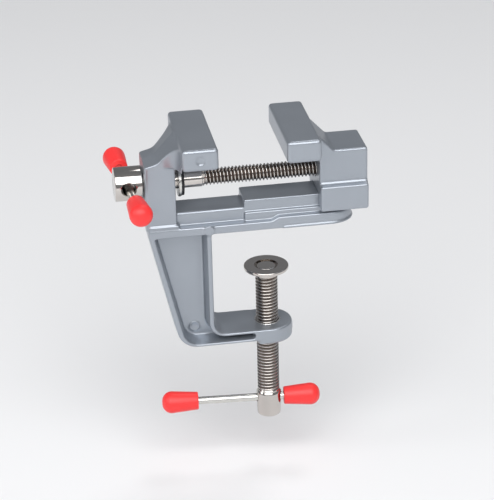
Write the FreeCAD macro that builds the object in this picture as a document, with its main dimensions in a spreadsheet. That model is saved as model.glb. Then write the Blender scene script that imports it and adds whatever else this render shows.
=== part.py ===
import FreeCAD, Part
import math
import os
import re

import Sketcher

doc = FreeCAD.newDocument("clamp_vise")

# Driving sizes in millimetres, angles in degrees
# The clamp screw's axis is X = 0, the table face of the base is Z = 0, and Y = 0 is the middle plane
sizes = {
    "jaw_width": 38.0,
    "jaw_height": 7.9,
    "jaw_underside": 28.3,
    "jaw_round": 1.2,
    "jaw_join": 1.8,
    "jaw_opening": 23.4,
    "fixed_face_back": 18.4,
    "fixed_jaw_thickness": 12.5,
    "moving_jaw_thickness": 12.0,
    "base_width": 17.66,
    "base_back": 42.2,
    "base_reach": 30.6,
    "base_thickness": 3.1,
    "base_thick_end": 4.4,
    "base_round": 0.6,
    "base_corner": 8.0,
    "ramp_start": 1.0,
    "ramp_length": 2.4,
    "lip_start": 4.6,
    "lip_height": 0.9,
    "lip_reach": 0.45,
    "post_width": 15.6,
    "post_back": 42.7,
    "post_front": 32.1,
    "post_round": 0.9,
    "post_top_back": 27.0,
    "post_bend_back": 38.4,
    "post_bend_height": 28.4,
    "post_bend_round": 4.0,
    "post_draft": 6.0,
    "ridge_lead": 0.6,
    "ridge_drop": 0.2,
    "ridge_overrun": 6.0,
    "ridge_fall": 1.2,
    "post_foot_margin": 0.7,
    "post_foot_round": 0.5,
    "flare_round": 6.6,
    "flare_underside": 26.0,
    "column_top_back": 42.0,
    "column_bottom_back": 32.1,
    "throat_depth": 20.3,
    "throat_height": 39.4,
    "throat_round": 4.0,
    "arm_height": 4.3,
    "heel_round": 7.8,
    "frame_crown": 0.3,
    "crown_run_out": 0.8,
    "rib_thickness": 1.6,
    "arm_rib": 0.9,
    "web_thickness": 4.6,
    "pocket_draft": 7.0,
    "pocket_round": 0.3,
    "groove_round": 1.0,
    "ejector_ring_radius": 1.8,
    "ejector_ring_width": 0.4,
    "ejector_ring_height": 0.35,
    "ejector_ring_back": 26.7,
    "ejector_ring_down": 38.2,
    "ejector_pad_radius": 1.9,
    "ejector_pad_height": 0.5,
    "dimple_radius": 1.6,
    "dimple_depth": 0.4,
    "boss_height": 5.9,
    "boss_back": 4.6,
    "boss_corner": 8.2,
    "boss_round": 0.9,
    "gate_width": 1.8,
    "gate_height": 3.0,
    "gate_reach": 0.35,
    "stem_width": 11.6,
    "stem_height": 8.0,
    "stem_round": 1.0,
    "stem_end": 8.3,
    "rail_width": 12.0,
    "rail_height": 10.7,
    "rail_foot_width": 14.0,
    "rail_foot_height": 6.3,
    "rail_end": 29.5,
    "rail_corner": 4.0,
    "slide_clearance": 0.2,
    "housing_width": 17.4,
    "housing_height": 27.7,
    "housing_gap": 1.0,
    "housing_length": 17.0,
    "housing_round": 0.7,
    "gusset_drop": 1.9,
    "gusset_run": 6.2,
    "gusset_round": 2.0,
    "skirt_width": 22.0,
    "skirt_top": 15.0,
    "skirt_underside": 5.6,
    "skirt_blend": 1.55,
    "edge_round": 0.4,
    "join_depth": 0.5,
    "cut_overrun": 1.0,
    "screw_height": 18.2,
    "shank_diameter": 6.4,
    "shank_clearance": 0.2,
    "shank_end": 22.0,
    "screw_diameter": 6.0,
    "screw_pitch": 1.25,
    "screw_thread_depth": 0.7,
    "screw_end": 33.0,
    "thread_clearance": 0.08,
    "head_diameter": 12.0,
    "head_length": 9.6,
    "head_chamfer": 0.5,
    "head_clearance": 0.3,
    "head_hole": 4.8,
    "head_hole_shift": 0.2,
    "washer_diameter": 12.0,
    "washer_thickness": 1.1,
    "washer_round": 0.22,
    "washer_clearance": 0.1,
    "screw_end_play": 1.4,
    "clip_diameter": 11.3,
    "clip_thickness": 0.9,
    "clip_band": 1.5,
    "clip_mouth": 5.0,
    "clip_prong": 2.2,
    "clip_groove_diameter": 5.0,
    "clip_clearance": 0.05,
    "bar_diameter": 2.8,
    "bar_length": 53.4,
    "bar_rest_gap": 0.2,
    "bar_tilt": 4.1,
    "cap_mouth_diameter": 6.4,
    "cap_end_diameter": 8.04,
    "cap_length": 13.2,
    "cap_round": 3.5,
    "cap_wall": 2.2,
    "cap_mouth_round": 0.3,
    "cap_clearance": 0.02,
    "clamp_diameter": 8.0,
    "clamp_pitch": 1.25,
    "clamp_thread_depth": 0.7,
    "clamp_head_diameter": 9.0,
    "clamp_head_length": 9.7,
    "clamp_head_top": 68.0,
    "clamp_head_taper": 0.9,
    "clamp_bar_turn": 4.3,
    "clamp_bar_shift": 10.2,
    "clamp_bar_rest_gap": 0.1,
    "clamp_hole": 3.4,
    "clamp_hole_drop": 3.2,
    "pad_top": 17.7,
    "pad_diameter": 16.0,
    "pad_thickness": 1.3,
    "pad_hub_diameter": 9.6,
    "pad_hub_height": 1.9,
    "pad_recess_depth": 1.1,
    "pad_recess_diameter": 8.4,
    "pad_clearance": 0.1,
    "stud_diameter": 4.6,
    "stud_head_diameter": 7.0,
    "stud_head_height": 0.8,
}

sheet = doc.addObject("Spreadsheet::Sheet", "Sizes")
for row, (name, value) in enumerate(sizes.items(), 1):
    sheet.set(f"A{row}", name)
    sheet.set(f"B{row}", str(value))
    sheet.setAlias(f"B{row}", name)
doc.recompute()

size_word = re.compile(r"[a-z]+(?:_[a-z]+)+")

# Places worked out from the driving sizes
half_jaw = "(jaw_width / 2)"
half_base = "(base_width / 2)"
half_post = "(post_width / 2)"
half_web = "(web_thickness / 2)"
jaw_top = "(jaw_underside + jaw_height)"
fixed_back = "(fixed_face_back + fixed_jaw_thickness)"
moving_face = "(jaw_opening - fixed_face_back)"
moving_back = f"({moving_face} + moving_jaw_thickness)"
housing_front = f"({moving_back} + housing_gap)"
housing_back = f"({housing_front} + housing_length)"
arm_bottom = "(throat_height + arm_height)"
head_inner = "(post_back + head_clearance)"
head_hole_back = f"({head_inner} + head_length / 2 + head_hole_shift)"
clip_back = "(post_front - screw_end_play - washer_thickness)"
bar_half_span = "(bar_length / 2 + cap_wall)"
clamp_hole_down = "(clamp_head_top + clamp_hole_drop)"
pad_bottom = "(pad_top + pad_thickness + pad_hub_height)"


def formula(text):
    """Writes a formula of size names the way the document reads it."""
    return size_word.sub(lambda word: f"Sizes.{word[0]}", text)


def number(text):
    """The value of a formula of size names, in millimetres."""
    plain = size_word.sub(lambda word: f"({sizes[word[0]]})", text)
    return FreeCAD.Units.parseQuantity(plain).Value


def bind(item, **formulas):
    """Ties properties of an object to formulas; a double underscore stands for a dot."""
    for key, text in formulas.items():
        item.setExpression(key.replace("__", "."), formula(text))


def place(item, x="0", y="0", z="0"):
    """Ties an object's place to formulas."""
    bind(item, Placement__Base__x=x, Placement__Base__y=y, Placement__Base__z=z)


def box(name, low, high):
    """A box between two corners, each three formulas."""
    item = doc.addObject("Part::Box", name)
    spans = [f"({b}) - ({a})" for a, b in zip(low, high)]
    bind(item, Length=spans[0], Width=spans[1], Height=spans[2])
    place(item, *low)
    return item


turns = {
    "X": FreeCAD.Rotation(FreeCAD.Vector(0, 1, 0), 90),
    "Y": FreeCAD.Rotation(FreeCAD.Vector(1, 0, 0), -90),
    "Z": FreeCAD.Rotation(),
}


def rod(name, axis, start, radius, length):
    """A cylinder that runs from a start point along an axis."""
    item = doc.addObject("Part::Cylinder", name)
    item.Placement.Rotation = turns[axis]
    bind(item, Radius=radius, Height=length)
    place(item, *start)
    return item


def join(name, *parts):
    """One solid from several."""
    item = doc.addObject("Part::MultiFuse", name)
    item.Shapes = parts
    item.Refine = True
    return item


def cut(name, body, *tools):
    """A solid less one or more tools."""
    item = doc.addObject("Part::Cut", name)
    item.Base = body
    item.Tool = tools[0] if len(tools) == 1 else join(f"{name}_tools", *tools)
    item.Refine = True
    return item


def overlap(name, first, second):
    """What two solids share."""
    item = doc.addObject("Part::Common", name)
    item.Base = first
    item.Tool = second
    item.Refine = True
    return item


def rounded(name, body, radius, wanted):
    """Rounds the edges of a solid that a test picks."""
    doc.recompute()
    value = number(radius)
    picked = [i for i, edge in enumerate(body.Shape.Edges, 1) if wanted(edge)]
    item = doc.addObject("Part::Fillet", name)
    item.Base = body
    item.Edges = [(i, value, value) for i in picked]
    return item


tolerance = 0.01


def near(value, text):
    """Whether a coordinate is at a formula's value."""
    return abs(value - number(text)) < tolerance


def at_height(text):
    """A test for edges that lie wholly at one height."""
    return lambda edge: near(edge.BoundBox.ZMin, text) and near(edge.BoundBox.ZMax, text)


def body(name):
    return doc.addObject("PartDesign::Body", name)


def sketch(owner, plane, name, offset="0"):
    """A sketch on one of its body's own planes."""
    item = owner.newObject("Sketcher::SketchObject", name)
    planes = [face for face in owner.Origin.OriginFeatures if face.Role == plane]
    item.AttachmentSupport = (planes[0], [""])
    item.MapMode = "FlatFace"
    bind(item, AttachmentOffset__Base__z=offset)
    return item


def hold(item, kind, *where, text):
    """Adds a dimension to a sketch and ties it to a formula."""
    index = item.addConstraint(Sketcher.Constraint(kind, *where, number(text)))
    item.setExpression(f"Constraints[{index}]", formula(text))


def outline(item, corners):
    """Draws a closed outline; a corner is (x, y) or (x, y, rounding radius), all formulas."""
    points = [FreeCAD.Vector(number(corner[0]), number(corner[1]), 0) for corner in corners]
    count = len(points)
    entries = []
    leaves = []
    for i, corner in enumerate(corners):
        back = (points[i - 1] - points[i]).normalize()
        ahead = (points[(i + 1) % count] - points[i]).normalize()
        reach = number(corner[2]) / math.tan(back.getAngle(ahead) / 2) if len(corner) == 3 else 0
        entries.append(points[i] + back * reach)
        leaves.append(points[i] + ahead * reach)
    for i in range(count):
        item.addGeometry(Part.LineSegment(leaves[i], entries[(i + 1) % count]))
    for i, corner in enumerate(corners):
        before = (i - 1) % count
        if len(corner) == 2:
            item.addConstraint(Sketcher.Constraint("Coincident", before, 2, i, 1))
            hold(item, "DistanceX", -1, 1, i, 1, text=corner[0])
            hold(item, "DistanceY", -1, 1, i, 1, text=corner[1])
        else:
            round_corner(item, before, i, entries[i], points[i], leaves[i], corner)


def round_corner(item, first, second, entry, here, leave, corner):
    """Joins two lines of a sketch with an arc and ties it to its corner's formulas."""
    x, y, radius = corner
    middle = ((entry + leave) / 2 - here).normalize()
    centre = here + middle * ((entry - here).Length ** 2 + number(radius) ** 2) ** 0.5
    left_turn = (here - entry).cross(leave - here).z > 0
    ends = [entry, leave] if left_turn else [leave, entry]
    angles = [math.atan2(end.y - centre.y, end.x - centre.x) for end in ends]
    circle = Part.Circle(centre, FreeCAD.Vector(0, 0, 1), number(radius))
    index = item.addGeometry(Part.ArcOfCircle(circle, *angles))
    corner_point = item.addGeometry(Part.Point(here), True)
    item.addConstraint(Sketcher.Constraint("Tangent", first, 2, index, 1 if left_turn else 2))
    item.addConstraint(Sketcher.Constraint("Tangent", second, 1, index, 2 if left_turn else 1))
    item.addConstraint(Sketcher.Constraint("PointOnObject", corner_point, 1, first))
    item.addConstraint(Sketcher.Constraint("PointOnObject", corner_point, 1, second))
    hold(item, "DistanceX", -1, 1, corner_point, 1, text=x)
    hold(item, "DistanceY", -1, 1, corner_point, 1, text=y)
    hold(item, "Radius", index, text=radius)


def pad(owner, profile, length, name, draft="0"):
    """Thickens a sketch equally to both sides of its plane; a draft narrows it towards its ends."""
    item = owner.newObject("PartDesign::Pad", name)
    item.Profile = profile
    item.SideType = "Symmetric"
    bind(item, Length=length, TaperAngle=f"-{draft}", TaperAngle2=f"-{draft}")
    return item


def pad_up(owner, profile, length, name):
    """Thickens a sketch along its plane's normal."""
    item = owner.newObject("PartDesign::Pad", name)
    item.Profile = profile
    bind(item, Length=length)
    return item


def turned(owner, corners, name, axis="H_Axis"):
    """A solid of revolution from a profile drawn on the middle plane."""
    profile = sketch(owner, "XZ_Plane", f"{name}_profile")
    outline(profile, corners)
    item = owner.newObject("PartDesign::Revolution", name)
    item.Profile = profile
    item.ReferenceAxis = (profile, [axis])
    item.Angle = 360
    return item


# Where a groove's corners lie, in shares of the pitch: crest, start and end of the root, next crest
groove_steps = (0, 0.38, 0.5, 0.88)


def thread(owner, axis, radius, depth, pitch, start, length, name):
    """Cuts ring grooves at the thread's pitch, V-shaped with a flat crest and root."""
    groove = sketch(owner, "XZ_Plane", f"{name}_tooth")
    root = f"({radius} - {depth})"
    out = f"({radius} + {depth} / 5)"
    steps = [f"{pitch} * {step}" for step in groove_steps]
    heights = [out, root, root, out]
    if axis == "H_Axis":
        corners = [(f"{start} + {step}", height) for step, height in zip(steps, heights)]
    else:
        corners = [(height, f"{start} + {step}") for step, height in zip(steps, heights)]
    outline(groove, corners)
    item = owner.newObject("PartDesign::Groove", name)
    item.Profile = groove
    item.ReferenceAxis = (groove, [axis])
    item.Angle = 360
    doc.recompute()
    pattern = owner.newObject("PartDesign::LinearPattern", f"{name}_turns")
    pattern.Originals = [item]
    pattern.Direction = (groove, [axis])
    pattern.Mode = "Spacing"
    bind(pattern, Offset=pitch, Occurrences=f"floor(({length}) / {pitch})")
    owner.Tip = pattern
    return pattern


# Base flange: a long plate with a full round end, thicker under the sliding jaw, on a thin lip
def make_flange():
    owner = body("flange")
    plan = sketch(owner, "XY_Plane", "flange_plan")
    back = "-base_back"
    outline(plan, [
        (back, f"-{half_base}"),
        ("base_reach", f"-{half_base}", "base_corner"),
        ("base_reach", half_base, "base_corner"),
        (back, half_base),
    ])
    pad_up(owner, plan, "base_thick_end", "flange_plate")
    doc.recompute()
    step = sketch(owner, "XZ_Plane", "flange_step")
    outline(step, [
        ("-base_back - base_round", "base_thickness"),
        ("ramp_start", "base_thickness"),
        ("ramp_start + ramp_length", "base_thick_end"),
        ("ramp_start + ramp_length", "base_thick_end + base_round"),
        ("-base_back - base_round", "base_thick_end + base_round"),
    ])
    lower = owner.newObject("PartDesign::Pocket", "flange_lower_part")
    lower.Profile = step
    lower.SideType = "Symmetric"
    lower.Type = "ThroughAll"
    owner.Tip = lower
    smooth = rounded("flange_smooth", owner, "base_round", flange_top_edge)
    lip = body("lip")
    lip_plan = sketch(lip, "XY_Plane", "lip_plan")
    lip_half = f"({half_base} + lip_reach)"
    outline(lip_plan, [
        ("lip_start", f"-{lip_half}", "lip_reach"),
        ("base_reach + lip_reach", f"-{lip_half}", "base_corner + lip_reach"),
        ("base_reach + lip_reach", lip_half, "base_corner + lip_reach"),
        ("lip_start", lip_half, "lip_reach"),
    ])
    pad_up(lip, lip_plan, "lip_height", "lip_plate")
    soft_lip = rounded("lip_smooth", lip, "lip_reach", at_height("lip_height"))
    return join("flange_whole", smooth, soft_lip)


def flange_top_edge(edge):
    """Edges round the top of the flange, on both levels and the ramp between them."""
    span = edge.BoundBox
    above = span.ZMin > number("base_thickness") - tolerance
    across = near(span.YLength, "base_width - 2 * base_round") or near(span.YLength, "base_width")
    across = across and span.XLength < tolerance and span.XMin > 0
    return above and not across


# Jaw bars
def make_jaw(name, low_x, high_x):
    bar = box(
        f"{name}_block",
        (low_x, f"-{half_jaw}", "jaw_underside"),
        (high_x, half_jaw, jaw_top),
    )
    return rounded(f"{name}_smooth", bar, "jaw_round", lambda edge: True)


# Fixed jaw's post, with a ridge along its top and flares up to the back of the jaw bar
def make_post():
    ridge = body("post_ridge")
    side = sketch(ridge, "XZ_Plane", "post_side")
    outline(side, [
        ("-post_back - ridge_overrun", "-ridge_overrun"),
        (f"-{fixed_back} + ridge_overrun", "-ridge_overrun"),
        (f"-{fixed_back} + ridge_overrun", f"{jaw_top} - jaw_round"),
        (f"-{fixed_back} - ridge_lead", f"{jaw_top} - ridge_drop"),
        ("-post_bend_back", "post_bend_height", "post_bend_round"),
        ("-post_back - ridge_overrun", "post_top_back - ridge_fall"),
    ])
    pad(ridge, side, "jaw_width", "post_ridge_pad", draft="post_draft")
    plan = body("post_plan_body")
    plan_sketch = sketch(plan, "XY_Plane", "post_plan", "base_thickness - base_round")
    outline(plan_sketch, [
        ("-post_back", f"-{half_post}", "post_round"),
        ("-post_front", f"-{half_post}", "post_round / 2"),
        ("-post_front", half_post, "post_round / 2"),
        ("-post_back", half_post, "post_round"),
    ])
    pad_up(plan, plan_sketch, f"{jaw_top} - base_thickness + base_round", "post_plan_pad")
    flare_half = f"({half_post} + flare_round)"
    flare_back = f"({fixed_back} + flare_round)"
    flare = box("flare_block", (f"-{flare_back}", f"-{flare_half}", "flare_underside"),
                (f"-{fixed_back} + join_depth", flare_half, jaw_top))
    scoop_start = "flare_underside - cut_overrun"
    scoops = [
        rod(f"flare_scoop_{side_name}", "Z", (f"-{flare_back}", f"{sign}{flare_half}", scoop_start),
            "flare_round", f"{jaw_top} - flare_underside + 2 * cut_overrun")
        for side_name, sign in (("near", "-"), ("far", ""))
    ]
    plan_whole = join("post_plan_whole", plan, cut("flare", flare, *scoops))
    return overlap("post", ridge, plan_whole)


# Foot where the post meets the flange
def make_post_foot():
    margin = "post_foot_margin"
    foot = box(
        "post_foot_block",
        ("-base_back", f"-{half_post} - {margin}", "base_thickness - base_round"),
        (f"-post_front + {margin}", f"{half_post} + {margin}", "base_thick_end"),
    )
    return rounded("post_foot", foot, "post_foot_round", at_height("base_thick_end"))


# Stem and guide rail along the top of the flange
def make_rail():
    stem = box(
        "stem",
        ("-post_front - post_round", "-stem_width / 2", "base_thickness - base_round"),
        ("-stem_end", "stem_width / 2", "stem_height"),
    )
    soft_stem = rounded("stem_smooth", stem, "stem_round", at_height("stem_height"))
    levels = []
    for name, width, height in (
        ("rail_foot", "rail_foot_width", "rail_foot_height"),
        ("rail_head", "rail_width", "rail_height"),
    ):
        owner = body(name)
        plan = sketch(owner, "XY_Plane", f"{name}_plan")
        corner = f"rail_corner + ({width} - rail_width) / 2"
        outline(plan, [
            ("-stem_end", f"-{width} / 2"),
            ("rail_end", f"-{width} / 2", corner),
            ("rail_end", f"{width} / 2", corner),
            ("-stem_end", f"{width} / 2"),
        ])
        pad_up(owner, plan, height, f"{name}_pad")
        levels.append(rounded(f"{name}_smooth", owner, "edge_round", at_height(height)))
    return join("rail", soft_stem, *levels)


# Column and arm of the clamp frame, crowned along the middle, where the mould parts
def make_frame():
    owner = body("clamp_frame")
    side = sketch(owner, "XZ_Plane", "frame_side")
    outline(side, [
        ("-column_top_back - frame_crown", "0"),
        ("-column_bottom_back - frame_crown", f"-{arm_bottom} - frame_crown", "heel_round"),
        ("-boss_back / 2", f"-{arm_bottom} - frame_crown"),
        ("-boss_back / 2", "-throat_height - frame_crown"),
        ("-boss_back - crown_run_out", "-throat_height + frame_crown"),
        ("-throat_depth + frame_crown", "-throat_height + frame_crown", "throat_round"),
        ("-throat_depth + frame_crown", "base_thickness / 2"),
        ("-column_top_back - frame_crown", "base_thickness / 2"),
    ])
    pad(owner, side, "base_width", "frame_pad", draft=f"atan(frame_crown / {half_base})")
    return owner


# Pocket on each side of the web, down the column and along the arm
def make_pockets():
    tools = []
    for side_name, sign in (("near", "-"), ("far", "")):
        owner = body(f"pocket_{side_name}")
        face = f"({half_base} + cut_overrun)"
        offset = face if sign else f"-{face}"
        heel_x = "-column_bottom_back + rib_thickness"
        profile = sketch(owner, "XZ_Plane", f"pocket_outline_{side_name}", offset)
        outline(profile, [
            ("-column_top_back + rib_thickness", "0"),
            (heel_x, f"-{arm_bottom} + arm_rib", "heel_round - rib_thickness"),
            ("-boss_back - arm_rib", f"-{arm_bottom} + arm_rib", "groove_round"),
            ("-boss_back - arm_rib", "-throat_height - arm_rib", "groove_round"),
            ("-throat_depth - rib_thickness", "-throat_height - arm_rib", "throat_round + rib_thickness"),
            ("-throat_depth - rib_thickness", "0"),
        ])
        hole = owner.newObject("PartDesign::Pad", f"pocket_pad_{side_name}")
        hole.Profile = profile
        hole.Reversed = bool(sign)
        bind(hole, Length=f"{face} - {half_web}", TaperAngle="-pocket_draft")
        floor = f"{sign}{half_web}"
        tools.append(rounded(
            f"pocket_smooth_{side_name}", owner, "pocket_round",
            lambda edge, level=floor: near(edge.BoundBox.YMin, level) and near(edge.BoundBox.YMax, level),
        ))
    return tools


# Boss at the end of the arm, which the clamp screw runs through
def make_boss():
    owner = body("boss")
    plan = sketch(owner, "XY_Plane", "boss_plan", "-throat_height - boss_height")
    outline(plan, [
        ("-boss_back", f"-{half_base}", "boss_round"),
        (half_base, f"-{half_base}", "boss_corner"),
        (half_base, half_base, "boss_corner"),
        ("-boss_back", half_base, "boss_round"),
    ])
    pad_up(owner, plan, "boss_height", "boss_pad")
    soft = rounded("boss_under", owner, "boss_round", at_height("-throat_height - boss_height"))
    return rounded("boss_smooth", soft, "edge_round", boss_top_edge)


def boss_top_edge(edge):
    """Edges round the top of the boss, without the one inside the arm."""
    span = edge.BoundBox
    past_sides = span.XMax > number(f"{half_base} - boss_corner") + tolerance
    return near(span.ZMin, "-throat_height") and past_sides


# The whole base casting, with its bores
def make_base():
    frame = cut("frame_pocketed", make_frame(), *make_pockets())
    soft_frame = rounded("frame_smooth", frame, "edge_round", frame_edge)
    ring_start = ("-ejector_ring_back", f"-{half_web} - ejector_ring_height", "-ejector_ring_down")
    ring_depth = "ejector_ring_height + edge_round"
    ring = cut(
        "ejector_ring",
        rod("ring_outer", "Y", ring_start, "ejector_ring_radius", ring_depth),
        rod("ring_inner", "Y", ring_start, "ejector_ring_radius - ejector_ring_width", ring_depth),
    )
    rib_middle = "-throat_depth - rib_thickness / 2"
    spot = rod("ejector_pad", "Y",
               (rib_middle, f"-{half_base} - ejector_pad_height", "base_thickness / 2"),
               "ejector_pad_radius", "ejector_pad_height + edge_round")
    boss_middle = "-throat_height - boss_height / 2"
    gate = box("gate_mark",
               (f"{half_base} - boss_round", "-gate_width / 2", f"{boss_middle} - gate_height / 2"),
               (f"{half_base} + gate_reach", "gate_width / 2", f"{boss_middle} + gate_height / 2"))
    fixed_jaw = make_jaw("fixed_jaw", f"-{fixed_back}", "-fixed_face_back")
    whole = join("base_whole", make_flange(), fixed_jaw, make_post(), make_post_foot(), make_rail(),
                 soft_frame, make_boss(), ring, spot, gate)
    shank_bore = rod("shank_bore", "X", ("-post_back - cut_overrun", "0", "screw_height"),
                     "shank_diameter / 2 + shank_clearance", "post_back - post_front + 2 * cut_overrun")
    clamp_bore = rod("clamp_bore", "Z", ("0", "0", "-throat_height - boss_height - cut_overrun"),
                     "clamp_diameter / 2 + thread_clearance", "boss_height + 2 * cut_overrun")
    jaw_middle = "-fixed_face_back - fixed_jaw_thickness / 2"
    dimple = rod("jaw_end_dimple", "Y",
                 (jaw_middle, f"-{half_jaw} - cut_overrun", "jaw_underside + jaw_height / 2"),
                 "dimple_radius", "cut_overrun + dimple_depth")
    return cut("vise_body", whole, shank_bore, clamp_bore, dimple)


def frame_edge(edge):
    """Edges in the frame's two outer faces, below the flange and short of the boss."""
    span = edge.BoundBox
    in_face = near(abs(span.YMin), half_base) and near(abs(span.YMax), half_base)
    flat = span.YLength < tolerance
    return in_face and flat and span.ZMin < -tolerance and span.XMax < -tolerance


# Sliding jaw: bar, gusset, threaded housing and the skirt that straddles the rail
def make_sliding_jaw():
    inside = f"({moving_back} - jaw_join)"
    peak = f"({jaw_top} - gusset_drop)"
    across = body("housing_across")
    section = sketch(across, "YZ_Plane", "housing_section", inside)
    foot_side = "rail_foot_width / 2 + slide_clearance"
    rail_side = "rail_width / 2 + slide_clearance"
    corners = [
        ("housing_width / 2", peak),
        ("housing_width / 2", "skirt_top", "skirt_blend"),
        ("skirt_width / 2", "skirt_top"),
        ("skirt_width / 2", "skirt_underside"),
        (foot_side, "skirt_underside"),
        (foot_side, "rail_foot_height + slide_clearance"),
        (rail_side, "rail_foot_height + slide_clearance"),
        (rail_side, "rail_height + slide_clearance"),
    ]
    outline(section, corners + [(f"-({corner[0]})", *corner[1:]) for corner in reversed(corners)])
    pad_up(across, section, f"{housing_back} - {inside}", "housing_across_pad")
    along = body("housing_along")
    side = sketch(along, "XZ_Plane", "housing_side")
    outline(side, [
        (housing_front, "skirt_underside"),
        (housing_back, "skirt_underside"),
        (housing_back, "housing_height"),
        (f"{moving_back} + gusset_run", "housing_height", "gusset_round"),
        (moving_back, peak),
        (inside, peak),
        (inside, "jaw_underside + jaw_round"),
        (housing_front, "housing_height - edge_round"),
    ])
    pad(along, side, "skirt_width", "housing_along_pad")
    housing = rounded("housing_smooth", overlap("housing", across, along), "housing_round", housing_edge)
    bar = make_jaw("moving_jaw", moving_face, moving_back)
    bore = rod("screw_bore", "X", (f"{housing_front} - cut_overrun", "0", "screw_height"),
               "screw_diameter / 2 + thread_clearance", "housing_length + 2 * cut_overrun")
    return cut("sliding_jaw", join("jaw_whole", bar, housing), bore)


def housing_edge(edge):
    """Outside edges of the housing and skirt, without the channel's and those inside the jaw bar."""
    span = edge.BoundBox
    side = abs(span.Center.y)
    behind_bar = span.XMax > number(moving_back)
    on_top = span.ZMin > number("housing_height") - tolerance and span.XMax > number(moving_back) + tolerance
    at_housing = near(side, "housing_width / 2")
    if span.XLength > tolerance:
        return near(side, "skirt_width / 2") or (at_housing and on_top)
    if side < tolerance:
        return near(span.XMin, housing_back) and on_top
    return (at_housing and behind_bar) or side > number("housing_width / 2") + tolerance


# Main screw: cross-drilled head, smooth shank with a clip groove, and the thread
def make_main_screw():
    owner = body("main_screw")
    head = "head_diameter / 2"
    shank = "shank_diameter / 2"
    core = "screw_diameter / 2"
    outer = f"-{head_inner} - head_length"
    groove_back = f"-{clip_back} - clip_clearance"
    groove_front = f"-{clip_back} + clip_thickness + clip_clearance"
    turned(owner, [
        (outer, "0"),
        (outer, f"{head} - head_chamfer"),
        (f"{outer} + head_chamfer", head),
        (f"-{head_inner} - head_chamfer", head),
        (f"-{head_inner}", f"{head} - head_chamfer"),
        (f"-{head_inner}", shank),
        (groove_back, shank),
        (groove_back, "clip_groove_diameter / 2"),
        (groove_front, "clip_groove_diameter / 2"),
        (groove_front, shank),
        ("-shank_end", shank),
        (f"-shank_end + {shank} - {core}", core),
        ("screw_end - screw_thread_depth", core),
        ("screw_end", f"{core} - screw_thread_depth"),
        ("screw_end", "0"),
    ], "main_screw_turned")
    thread(owner, "H_Axis", core, "screw_thread_depth", "screw_pitch", "-shank_end + screw_pitch / 2",
           "shank_end + screw_end - screw_pitch", "main_thread")
    cross_hole(owner, "XZ_Plane", f"-{head_hole_back}", "0", "head_hole / 2")
    place(owner, z="screw_height")
    return owner


def cross_hole(owner, plane, x, y, radius):
    """Drills a hole square through a screw's head."""
    doc.recompute()
    spot = sketch(owner, plane, f"{owner.Name}_hole_place")
    centre = FreeCAD.Vector(number(x), number(y), 0)
    circle = spot.addGeometry(Part.Circle(centre, FreeCAD.Vector(0, 0, 1), number(radius)))
    hold(spot, "DistanceX", -1, 1, circle, 3, text=x)
    hold(spot, "DistanceY", -1, 1, circle, 3, text=y)
    hold(spot, "Radius", circle, text=radius)
    item = owner.newObject("PartDesign::Pocket", f"{owner.Name}_hole")
    item.Profile = spot
    item.SideType = "Symmetric"
    item.Type = "ThroughAll"
    owner.Tip = item
    return item


# Washer and open retaining clip that hold the main screw in the post
def make_washer():
    outer = rod("washer_disc", "X", (f"-{clip_back} - washer_thickness", "0", "screw_height"),
                "washer_diameter / 2", "washer_thickness")
    smooth = rounded("washer_smooth", outer, "washer_round", lambda edge: edge.Closed)
    hole = rod("washer_hole", "X", (f"-{clip_back} - washer_thickness - cut_overrun", "0", "screw_height"),
               "shank_diameter / 2 + washer_clearance", "washer_thickness + 2 * cut_overrun")
    return cut("thrust_washer", smooth, hole)


def make_clip():
    start = (f"-{clip_back}", "0", "screw_height")
    before = (f"-{clip_back} - cut_overrun", "0", "screw_height")
    through = "clip_thickness + 2 * cut_overrun"
    disc = rod("clip_disc", "X", start, "clip_diameter / 2", "clip_thickness")
    inner = "clip_diameter / 2 - clip_band"
    hollow = rod("clip_hollow", "X", before, inner, through)
    beyond = f"-{clip_back} + clip_thickness + cut_overrun"
    mouth = box("clip_mouth_gap", (before[0], "-clip_mouth / 2", "screw_height"),
                (beyond, "clip_mouth / 2", "screw_height + clip_diameter"))
    band = cut("clip_ring", disc, hollow)
    prongs = []
    reach = f"{inner} + clip_band / 2"
    side_low = "screw_height - clip_prong / 4"
    side_high = f"{side_low} + clip_prong"
    for name, low_y, high_y, low_z, high_z in (
        ("bottom", "-clip_prong / 2", "clip_prong / 2", f"screw_height - ({reach})", "screw_height"),
        ("near", f"-({reach})", "0", side_low, side_high),
        ("far", "0", reach, side_low, side_high),
    ):
        prongs.append(box(f"clip_prong_{name}", (f"-{clip_back}", low_y, low_z),
                          (f"-{clip_back} + clip_thickness", high_y, high_z)))
    whole = join("clip_whole", band, *prongs)
    seat = rod("clip_seat", "X", before, "clip_groove_diameter / 2 + clip_clearance", through)
    return cut("retaining_clip", whole, seat, mouth)


# Tommy bars: a plain rod with a soft cap pushed on each end
def make_bar(name, angle, x, y, z):
    owner = body(name)
    turned(owner, [
        ("-bar_length / 2", "0"),
        ("-bar_length / 2", "bar_diameter / 2"),
        ("bar_length / 2", "bar_diameter / 2"),
        ("bar_length / 2", "0"),
    ], f"{name}_turned")
    bind(owner, Placement__Rotation__Angle=f"({angle}) * 1deg")
    place(owner, x, y, z)
    return owner


def make_cap(name, angle, x, y, z):
    owner = body(name)
    mouth = f"({bar_half_span} - cap_length)"
    bore = "bar_diameter / 2 + cap_clearance"
    turned(owner, [
        (mouth, bore),
        (mouth, "cap_mouth_diameter / 2", "cap_mouth_round"),
        (bar_half_span, "cap_end_diameter / 2", "cap_round"),
        (bar_half_span, "0"),
        (f"{bar_half_span} - cap_wall", "0"),
        (f"{bar_half_span} - cap_wall", bore),
    ], f"{name}_turned")
    bind(owner, Placement__Rotation__Angle=f"({angle}) * 1deg")
    place(owner, x, y, z)
    return owner


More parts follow.
